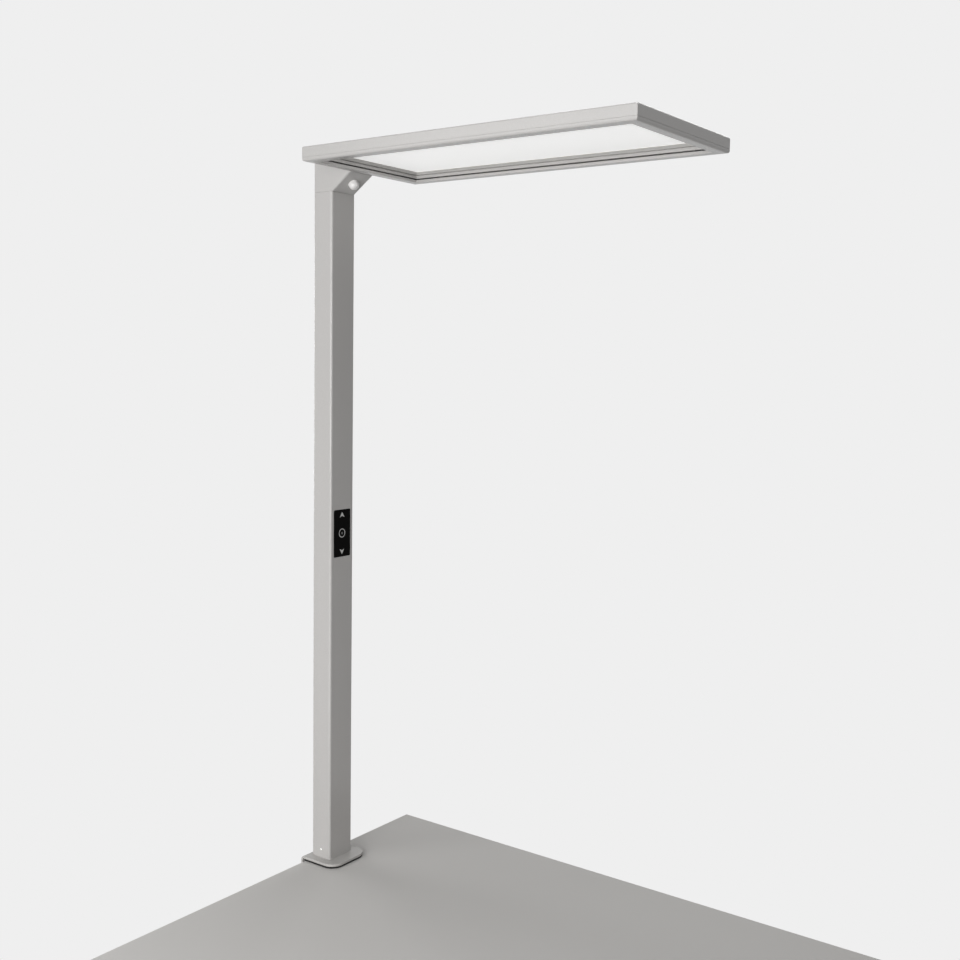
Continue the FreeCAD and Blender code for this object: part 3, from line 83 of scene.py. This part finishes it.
# The clamp screw: one pitch of thread is a root, a flank, a crest and a flank
SCREW_STEPS = 40
SCREW_PITCH = 0.003
THREAD_DEPTH = 0.0014
ROOT_FLAT = 0.0009
FLANK_RISE = 0.00055
CREST_FLAT = 0.0010
GROOVE_DEPTH = 0.0016
UPPER_GROOVE = 0.00085
LOWER_GROOVE = 0.0010
COLLAR_BEVEL = 0.0004
COLLAR_DROP = 0.0030
THREAD_IN_KNOB = 0.00135
SCREW_BEVEL = 0.0008
FOOT_PLAY = 0.00015
PIN_RADIUS = 0.0040
RIVET_TALL = 0.0012
RIVET_BEVEL = 0.0003
SHARP_ANGLE = math.radians(25)
CUT_TOLERANCE = 1e-7
EDGE_TOLERANCE = 1e-6

# Most values of a noise texture lie between these two
NOISE_LOW = 0.3
NOISE_HIGH = 0.7

# Noise cells per metre along x, y and z, which give fine turned or brushed lines across z
BRUSHING = (300, 300, 4000)


def srgb(red, green, blue):
    """Linear colour from 8-bit screen values."""
    def linear(value):
        value /= 255
        return value / 12.92 if value <= 0.04045 else ((value + 0.055) / 1.055) ** 2.4
    return (linear(red), linear(green), linear(blue), 1.0)


class Finish:
    """A procedural material: colour and roughness vary by noise, and the surface has fine relief."""

    def __init__(self, name, colour, rough, metal=0.0):
        self.material = bpy.data.materials.new(name)
        self.material.use_nodes = True
        self.tree = self.material.node_tree
        self.shader = self.tree.nodes["Principled BSDF"]
        self.shader.inputs["Base Color"].default_value = colour
        self.shader.inputs["Roughness"].default_value = rough
        self.shader.inputs["Metallic"].default_value = metal
        self.colour, self.rough = colour, rough
        self.place = self.tree.nodes.new("ShaderNodeTexCoord").outputs["Object"]

    def join(self, output, target):
        self.tree.links.new(output, target)

    def stretch(self, scale):
        """Coordinates with a scale of their own along each axis."""
        mapping = self.tree.nodes.new("ShaderNodeMapping")
        mapping.inputs["Scale"].default_value = scale
        self.join(self.place, mapping.inputs["Vector"])
        return mapping.outputs["Vector"]

    def noise(self, size, detail, place=None):
        """Noise whose grains are about the given size, in metres unless place is stretched."""
        node = self.tree.nodes.new("ShaderNodeTexNoise")
        node.inputs["Scale"].default_value = 1 / size
        node.inputs["Detail"].default_value = detail
        self.join(place or self.place, node.inputs["Vector"])
        return node.outputs["Fac"]

    def mottle(self, size, share, detail=3.0, place=None):
        """Lighter and darker patches of the base colour."""
        node = self.tree.nodes.new("ShaderNodeValToRGB")
        darker, lighter = node.color_ramp.elements
        darker.position, lighter.position = NOISE_LOW, NOISE_HIGH
        darker.color = [c * (1 - share) for c in self.colour[:3]] + [1.0]
        lighter.color = [min(1.0, c * (1 + share)) for c in self.colour[:3]] + [1.0]
        self.join(self.noise(size, detail, place), node.inputs["Fac"])
        self.join(node.outputs["Color"], self.shader.inputs["Base Color"])

    def uneven(self, size, share):
        """Patches of higher and lower gloss."""
        node = self.tree.nodes.new("ShaderNodeMapRange")
        node.inputs["From Min"].default_value = NOISE_LOW
        node.inputs["From Max"].default_value = NOISE_HIGH
        node.inputs["To Min"].default_value = self.rough - share
        node.inputs["To Max"].default_value = self.rough + share
        self.join(self.noise(size, 2.0), node.inputs["Value"])
        self.join(node.outputs["Result"], self.shader.inputs["Roughness"])

    def relief(self, size, height, strength, place=None):
        """Bumps of the given height in metres."""
        bump = self.tree.nodes.new("ShaderNodeBump")
        bump.inputs["Strength"].default_value = strength
        bump.inputs["Distance"].default_value = height
        self.join(self.noise(size, 2.0, place), bump.inputs["Height"])
        self.join(bump.outputs["Normal"], self.shader.inputs["Normal"])


def powder_coat(name, colour):
    """Satin coat with a fine grain."""
    finish = Finish(name, colour, rough=0.26)
    finish.mottle(size=0.0006, share=0.035, detail=4.0)
    finish.uneven(size=0.0009, share=0.03)
    finish.relief(size=0.0007, height=0.00004, strength=0.6)
    return finish.material


def steel(name, colour, rough):
    """Bright metal with fine lines."""
    finish = Finish(name, colour, rough, metal=1.0)
    lines = finish.stretch(BRUSHING)
    finish.mottle(size=1.0, share=0.06, place=lines)
    finish.uneven(size=0.008, share=0.06)
    finish.relief(size=1.0, height=0.00002, strength=0.4, place=lines)
    return finish.material


def plastic(name, colour, rough, grain=0.0004, height=0.00002, shine=0.5):
    """Moulded plastic, film or board."""
    finish = Finish(name, colour, rough)
    finish.shader.inputs["Specular IOR Level"].default_value = shine
    finish.mottle(size=0.004, share=0.05)
    finish.uneven(size=0.01, share=0.04)
    finish.relief(grain, height, strength=0.5)
    return finish.material


def smooth_black(name, colour, rough):
    """Black sheet or key that mirrors little."""
    return plastic(name, colour, rough, grain=0.0006, height=0.000008, shine=0.02)


def rubber(name, colour):
    """Dull rubber or foam."""
    finish = Finish(name, colour, rough=0.75)
    finish.mottle(size=0.0015, share=0.15)
    finish.relief(size=0.0009, height=0.00006, strength=0.7)
    return finish.material


def opal(name):
    """Translucent light panel, evenly bright."""
    finish = Finish(name, srgb(240, 240, 240), rough=0.42)
    finish.mottle(size=0.05, share=0.01)
    finish.uneven(size=0.03, share=0.03)
    finish.relief(size=0.0005, height=0.00001, strength=0.4)
    finish.shader.inputs["Emission Color"].default_value = (1.0, 1.0, 0.99, 1.0)
    finish.shader.inputs["Emission Strength"].default_value = 0.48
    return finish.material


# The finish of each material slot in the record
MATERIALS = {
    "powder_coat": powder_coat("powder_coat", srgb(192, 190, 188)),
    "coated_steel": powder_coat("coated_steel", srgb(190, 188, 185)),
    "bright_steel": steel("bright_steel", srgb(196, 196, 194), rough=0.32),
    "rubber": rubber("black_rubber", srgb(16, 15, 14)),
    "knob_plastic": plastic("knob_plastic", srgb(34, 34, 34), rough=0.5),
    "panel_gloss": smooth_black("panel_gloss", srgb(9, 9, 8), rough=0.3),
    "key_plastic": smooth_black("key_plastic", srgb(10, 10, 9), rough=0.36),
    "dark_plastic": plastic("dark_plastic", srgb(40, 40, 40), rough=0.5),
    # The bezel's own colour matches the powder coat. It is made lighter than the coat as painted light on its
    # inward, downward slopes beside the lit panel.
    "grey_plastic": powder_coat("bezel_coat_with_painted_light", srgb(226, 224, 221)),
    "driver_white": plastic("driver_white", srgb(222, 222, 216), rough=0.5),
    "circuit_board": plastic("circuit_board", srgb(30, 84, 48), rough=0.4),
    "switch_plastic": plastic("switch_plastic", srgb(40, 40, 40), rough=0.5),
    "strip_board": plastic("strip_board", srgb(236, 236, 234), rough=0.4),
    "chip_yellow": plastic("chip_yellow", srgb(240, 206, 110), rough=0.3),
    "opal": opal("opal_sheet"),
    "clear_guide": plastic("guide_sheet", srgb(232, 238, 238), rough=0.15),
    "reflector": plastic("reflector_film", srgb(245, 245, 245), rough=0.3),
    "foam": rubber("soft_foam", srgb(90, 90, 90)),
    "lens_white": plastic("lens_white", srgb(238, 236, 235), rough=0.35, grain=0.0006, height=0.00001),
    "lead_sheath": plastic("lead_sheath", srgb(40, 40, 40), rough=0.55),
}


def dress(mesh_object, material):
    mesh_object.data.materials.clear()
    mesh_object.data.materials.append(material)


for part in frame["record"]["subparts"]:
    dress(nodes[part["node"]], MATERIALS[part["material_slot"]])
dress(nodes["set_screws"], steel("polished_steel", srgb(246, 246, 244), rough=0.16))


def new_object(name, build, material):
    """A dressed mesh object in the scene from a finished bmesh."""
    mesh = bpy.data.meshes.new(name)
    build.to_mesh(mesh)
    build.free()
    made = bpy.data.objects.new(name, mesh)
    bpy.context.scene.collection.objects.link(made)
    dress(made, material)
    return made


# Signs on the keys

def flat_sign(name, outlines, body, key, material):
    """A thin printed sign just proud of a key's face. Points are (y, z) about the key's centre."""
    low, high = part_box(key)
    centre = (low + high) / 2
    build = bmesh.new()
    for outline, faces in outlines:
        spots = [build.verts.new((high.x + PRINT_HEIGHT, centre.y + y, centre.z + z)) for y, z in outline]
        for corners in faces:
            build.faces.new([spots[i] for i in corners])
    bmesh.ops.recalc_face_normals(build, faces=build.faces)
    sign = new_object(name, build, material)
    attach(sign, body)


def arrow(turn):
    """A triangle with a shallow notch in its base, upright for turn 1 and upside down for turn -1."""
    left, right = (-ARROW_HALF_WIDTH, -ARROW_BASE), (ARROW_HALF_WIDTH, -ARROW_BASE)
    spots = [(0, ARROW_TIP), left, (0, -ARROW_NOTCH), right]
    return [([(y * turn, z * turn) for y, z in spots], [(0, 1, 2), (0, 2, 3)])]


def ring_and_bar():
    """A ring with a short upright bar in its middle."""
    steps = RING_STEPS
    turns = [2 * math.pi * (i + 0.5) / steps for i in range(steps)]
    circles = [(radius * math.cos(turn), radius * math.sin(turn))
               for radius in (RING_OUTER, RING_INNER) for turn in turns]
    band = [(i, (i + 1) % steps, steps + (i + 1) % steps, steps + i) for i in range(steps)]
    bar = [(BAR_RADIUS * math.cos(turn),
            BAR_RADIUS * math.sin(turn) + math.copysign(BAR_REACH, math.sin(turn))) for turn in turns]
    return [(circles, band), (bar, [tuple(range(steps))])]


sign_print = plastic("sign_print", srgb(214, 214, 212), rough=0.5)
flat_sign("up_sign", arrow(1), "up_key_body", "up_key", sign_print)
flat_sign("power_sign", ring_and_bar(), "power_key_body", "power_key", sign_print)
flat_sign("down_sign", arrow(-1), "down_key_body", "down_key", sign_print)


# The clamp screw with its thread

def thread_surface(radius, foot, top):
    """A right-handed thread round the z axis, cut off level at both ends and open there."""
    build = bmesh.new()
    root = radius - THREAD_DEPTH
    crest_start = ROOT_FLAT + FLANK_RISE
    profile = ((0.0, root), (ROOT_FLAT, root), (crest_start, radius), (crest_start + CREST_FLAT, radius))
    spare_turns = 2
    start = foot - spare_turns * SCREW_PITCH
    turns = math.ceil((top - foot) / SCREW_PITCH) + 2 * spare_turns
    rows = []
    for turn in range(turns):
        for rise, reach in profile:
            row = []
            for step in range(SCREW_STEPS):
                share = step / SCREW_STEPS
                angle = 2 * math.pi * share
                height = start + SCREW_PITCH * (turn + share) + rise
                row.append(build.verts.new((reach * math.cos(angle), reach * math.sin(angle), height)))
            rows.append(row)
    # Each row ends where the same row of the next turn begins
    helix = [row + [rows[i + len(profile)][0]] for i, row in enumerate(rows[:-len(profile)])]
    for lower, upper in zip(helix, helix[1:]):
        for step in range(SCREW_STEPS):
            build.faces.new((lower[step], lower[step + 1], upper[step + 1], upper[step]))
    for height, facing in ((top, 1), (foot, -1)):
        bmesh.ops.bisect_plane(build, geom=build.verts[:] + build.edges[:] + build.faces[:],
                               dist=CUT_TOLERANCE, plane_co=(0, 0, height), plane_no=(0, 0, facing),
                               clear_outer=True)
    return build


def grow_end(build, rings):
    """Carry the open edge at the first ring's height through all rings, as (radius, height), and close it."""
    start = rings[0][1]
    edge = [item for item in build.edges
            if item.is_boundary and all(abs(vert.co.z - start) < EDGE_TOLERANCE for vert in item.verts)]
    for radius, height in rings:
        grown = bmesh.ops.extrude_edge_only(build, edges=edge)["geom"]
        for item in grown:
            if isinstance(item, bmesh.types.BMVert):
                flat = item.co.xy.normalized() * radius
                item.co = (flat.x, flat.y, height)
        edge = [item for item in grown if isinstance(item, bmesh.types.BMEdge) and item.is_boundary]
    bmesh.ops.contextual_create(build, geom=edge)


def threaded_screw():
    """The clamp screw between the knob and the foot, with a collar, and a pin riveted into the foot."""
    screw_low, screw_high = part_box("clamp_spindle")
    knob_low, knob_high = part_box("clamp_knob")
    foot_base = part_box("pressure_foot")[0].z
    radius = (screw_high.y - screw_low.y) / 2
    groove = radius - GROOVE_DEPTH
    shoulder = foot_base - FOOT_PLAY
    thread_top = shoulder - COLLAR_DROP
    thread_foot = knob_high.z - THREAD_IN_KNOB
    groove_top = thread_top + UPPER_GROOVE
    groove_foot = thread_foot - LOWER_GROOVE
    rivet_base = screw_high.z - RIVET_TALL
    build = thread_surface(radius, thread_foot, thread_top)
    # Groove, collar, shoulder, pin and riveted head
    grow_end(build, (
        (groove, thread_top), (groove, groove_top),
        (radius - COLLAR_BEVEL, groove_top + COLLAR_BEVEL), (radius, groove_top + 2 * COLLAR_BEVEL),
        (radius, shoulder), (PIN_RADIUS, shoulder), (PIN_RADIUS, rivet_base), (radius, rivet_base),
        (radius, screw_high.z - RIVET_BEVEL), (radius - RIVET_BEVEL, screw_high.z)))
    # Groove and the plain end in the knob
    grow_end(build, (
        (groove, thread_foot), (groove, groove_foot), (radius, groove_foot - SCREW_BEVEL),
        (radius, screw_low.z + SCREW_BEVEL), (radius - SCREW_BEVEL, screw_low.z)))
    bmesh.ops.recalc_face_normals(build, faces=build.faces)
    axis = (knob_low + knob_high) / 2
    bmesh.ops.translate(build, verts=build.verts, vec=(axis.x, axis.y, 0))
    screw = new_object("threaded_screw", build, MATERIALS["bright_steel"])
    screw.data.shade_smooth()
    screw.data.set_sharp_from_angle(angle=SHARP_ANGLE)
    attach(screw, "clamp_screw")
    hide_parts("clamp_spindle")


threaded_screw()


# The pale desk top that carries the lamp, and the even background

def desk():
    pad_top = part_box("foot_pad")[1].z
    low = Vector((DESK_BACK, DESK_NEAR, pad_top + DESK_PLAY))
    high = Vector((DESK_REACH, DESK_SIDE, 0.0))
    build = bmesh.new()
    bmesh.ops.create_cube(build, size=1.0)
    for vert in build.verts:
        vert.co = [low[i] if vert.co[i] < 0 else high[i] for i in range(3)]
    finish = Finish("desk_finish", srgb(212, 210, 207), rough=0.6)
    finish.mottle(size=0.3, share=0.01)
    new_object("desk_top", build, finish.material)


desk()


def background(tree, colour, strength):
    node = tree.nodes.new("ShaderNodeBackground")
    node.inputs["Color"].default_value = colour
    node.inputs["Strength"].default_value = strength
    return node.outputs["Background"]


def studio_world():
    """A pale backdrop that the camera, reflections and clear sheets show, and a weak even fill light."""
    world = bpy.data.worlds.new("studio")
    bpy.context.scene.world = world
    world.use_nodes = True
    tree = world.node_tree
    tree.nodes.clear()
    light_path = tree.nodes.new("ShaderNodeLightPath")
    shows = light_path.outputs["Is Camera Ray"]
    for ray in ("Is Transmission Ray", "Is Glossy Ray"):
        either = tree.nodes.new("ShaderNodeMath")
        either.operation = "MAXIMUM"
        tree.links.new(shows, either.inputs[0])
        tree.links.new(light_path.outputs[ray], either.inputs[1])
        shows = either.outputs["Value"]
    mixer = tree.nodes.new("ShaderNodeMixShader")
    output = tree.nodes.new("ShaderNodeOutputWorld")
    tree.links.new(shows, mixer.inputs["Fac"])
    tree.links.new(background(tree, (1.0, 1.0, 1.0, 1.0), strength=0.02), mixer.inputs[1])
    tree.links.new(background(tree, srgb(239, 239, 239), strength=1.0), mixer.inputs[2])
    tree.links.new(mixer.outputs["Shader"], output.inputs["Surface"])


studio_world()


def soft_light(name, place, target, wide, tall, watts):
    data = bpy.data.lights.new(name, "AREA")
    data.shape = "RECTANGLE"
    data.size = wide
    data.size_y = tall
    data.energy = watts
    light = bpy.data.objects.new(name, data)
    bpy.context.scene.collection.objects.link(light)
    light.location = place
    light.visible_camera = False
    light.rotation_euler = (Vector(target) - Vector(place)).to_track_quat("-Z", "Y").to_euler()


soft_light("key", (0.89, -2.44, 0.95), (0.0, 0.0, 0.95), wide=1.4, tall=0.9, watts=38.5)
soft_light("window", (-0.9, -3.0, 1.9), (0.1, 0.0, 0.9), wide=2.4, tall=1.6, watts=30)
soft_light("overhead", (0.36, 0.0, 2.4), (0.36, 0.0, 1.3), wide=1.2, tall=0.6, watts=5)
soft_light("side", (2.2, -0.2, 2.2), (0.3, 0.0, 1.1), wide=1.0, tall=1.0, watts=6.8)
soft_light("low", (0.3, -1.3, 0.08), (0.35, 0.0, 1.27), wide=1.8, tall=0.8, watts=6.4)
soft_light("left", (-2.8, 0.3, 0.9), (0.0, 0.0, 0.8), wide=1.6, tall=1.2, watts=24)
soft_light("rear", (-0.6, 2.8, 2.3), (0.0, 0.0, 0.8), wide=1.6, tall=0.9, watts=16)


# The camera at the photograph's viewing angle

def photograph_camera():
    data = bpy.data.cameras.new("camera")
    camera = bpy.data.objects.new("camera", data)
    bpy.context.scene.collection.objects.link(camera)
    level = math.cos(CAMERA_PITCH)
    ahead = Vector((math.cos(CAMERA_YAW) * level, math.sin(CAMERA_YAW) * level, math.sin(CAMERA_PITCH)))
    across = Vector((math.sin(CAMERA_YAW), -math.cos(CAMERA_YAW), 0))
    upward = across.cross(ahead)
    right = across * math.cos(CAMERA_ROLL) + upward * math.sin(CAMERA_ROLL)
    top = upward * math.cos(CAMERA_ROLL) - across * math.sin(CAMERA_ROLL)
    turned = Matrix((right, top, -ahead)).transposed().to_4x4()
    camera.matrix_world = Matrix.Translation(CAMERA_PLACE) @ turned
    data.sensor_width = SENSOR_SIDE
    data.lens = FOCAL_PIXELS / IMAGE_SIDE * SENSOR_SIDE
    data.clip_start = CAMERA_NEAR
    data.clip_end = CAMERA_FAR
    bpy.context.scene.camera = camera


photograph_camera()
bpy.context.scene.view_settings.view_transform = "Standard"
